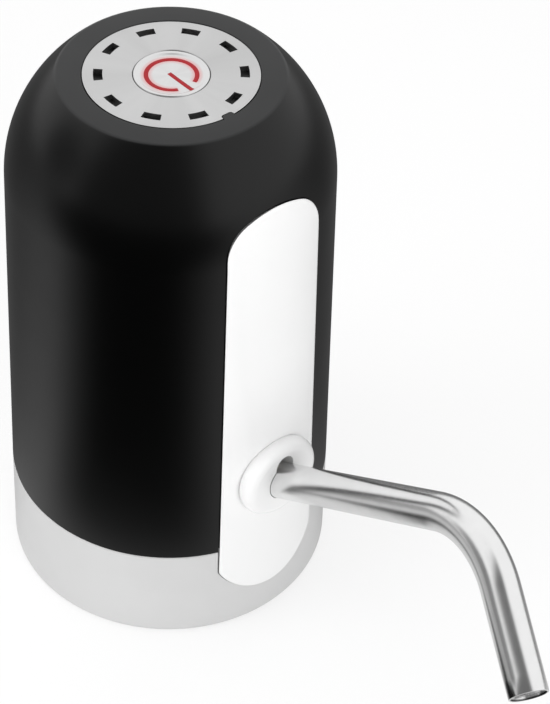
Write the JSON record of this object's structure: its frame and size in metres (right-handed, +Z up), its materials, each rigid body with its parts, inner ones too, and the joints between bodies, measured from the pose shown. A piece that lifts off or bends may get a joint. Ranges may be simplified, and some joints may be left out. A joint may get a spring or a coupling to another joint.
{
  "type": "electric water jug pump",
  "caption": "Rounded black pump head with a white front strip and base, a bent steel spout and a push button on top; draws water up from the bottle it sits on.",
  "frame": {"origin": "on the body's axis at the base's lower rim, which is the mouth of the bottle socket", "axes": "+Z up along the body's axis, -Y towards the spout, +X to the right seen from behind the spout"},
  "size_m": [0.0736, 0.1647, 0.1306],
  "materials": {
    "shell_black": "satin",
    "panel_white": "gloss",
    "base_white": "satin",
    "plate_silver": "brushed",
    "button_silver": "satin",
    "steel_tube": "polished",
    "silicone": "matt",
    "black_rubber": "matt",
    "natural_plastic": "matt",
    "black_plastic": "matt",
    "frame_grey": "matt",
    "screw_steel": "plated",
    "motor_steel": "plated",
    "magnet_black": "sintered",
    "bronze": "sintered",
    "winding": "enamelled wire on steel",
    "hose": "translucent",
    "cell_wrap": "shrink sleeve",
    "board_green": "solder mask",
    "led_red": "clear",
    "lead_red": "gloss",
    "lead_black": "gloss"
  },
  "bodies": {
    "housing": {"base_ring": "base_white", "neck_seal": "silicone", "floor_plate": "natural_plastic", "suction_fitting": "natural_plastic", "base_screws": "screw_steel", "outer_shell": "shell_black", "front_panel": "panel_white", "spout_collar": "panel_white", "spout_socket": "natural_plastic", "spout_o_rings": "black_rubber", "top_plate": "plate_silver", "switch_body": "black_plastic", "status_led": "led_red", "control_board": "board_green", "board_screws": "screw_steel", "inner_frame": "frame_grey", "pump_damper": "black_rubber", "pump_cover": "natural_plastic", "valve_plate": "natural_plastic", "inlet_valves": "black_rubber", "outlet_valve": "black_rubber", "diaphragm": "black_rubber", "cup_plate": "natural_plastic", "pump_housing": "natural_plastic", "pump_screws": "screw_steel", "motor_can": "motor_steel", "motor_magnets": "magnet_black", "motor_bushes": "bronze", "motor_end_cap": "black_plastic", "motor_terminals": "bronze", "suction_tube": "hose", "outlet_elbow": "hose", "battery_cell": "cell_wrap", "battery_tabs": "screw_steel", "charge_board": "board_green", "usb_socket": "screw_steel", "battery_leads": "lead_red", "motor_leads": "lead_black", "charge_leads": "lead_red"},
    "spout": {"spout_tube": "steel_tube"},
    "button": {"power_button": "button_silver", "switch_plunger": "black_plastic"},
    "rotor": {"motor_shaft": "screw_steel", "armature": "winding", "crank_hub": "black_plastic", "crank_pin": "screw_steel"},
    "wobbler": {"wobble_plate": "natural_plastic"}
  },
  "joints": [
    {"name": "spout_swivel", "type": "hinge", "parent": "housing", "child": "spout", "pos_m": [0, -0.036, 0.0418], "axis": [0, -0.848, 0.5299], "continuous": true},
    {"name": "button_press", "type": "slide", "parent": "housing", "child": "button", "axis": [0, 0, -1], "range_m": [0, 0.0007], "stiffness_N_per_m": 600, "springref_m": -0.001},
    {"name": "motor_spin", "type": "hinge", "parent": "housing", "child": "rotor", "pos_m": [-0.0065, 0.0035, 0.09], "axis": [0, 0, 1], "continuous": true, "deforming": ["diaphragm"]},
    {"name": "plate_wobble", "type": "hinge", "parent": "rotor", "child": "wobbler", "pos_m": [-0.0065, 0.0035, 0.066], "axis": [0.1045, 0, 0.9945], "continuous": true}
  ],
  "couplings": [
    {"joint": "plate_wobble", "follows": "motor_spin", "ratio": -1}
  ]
}
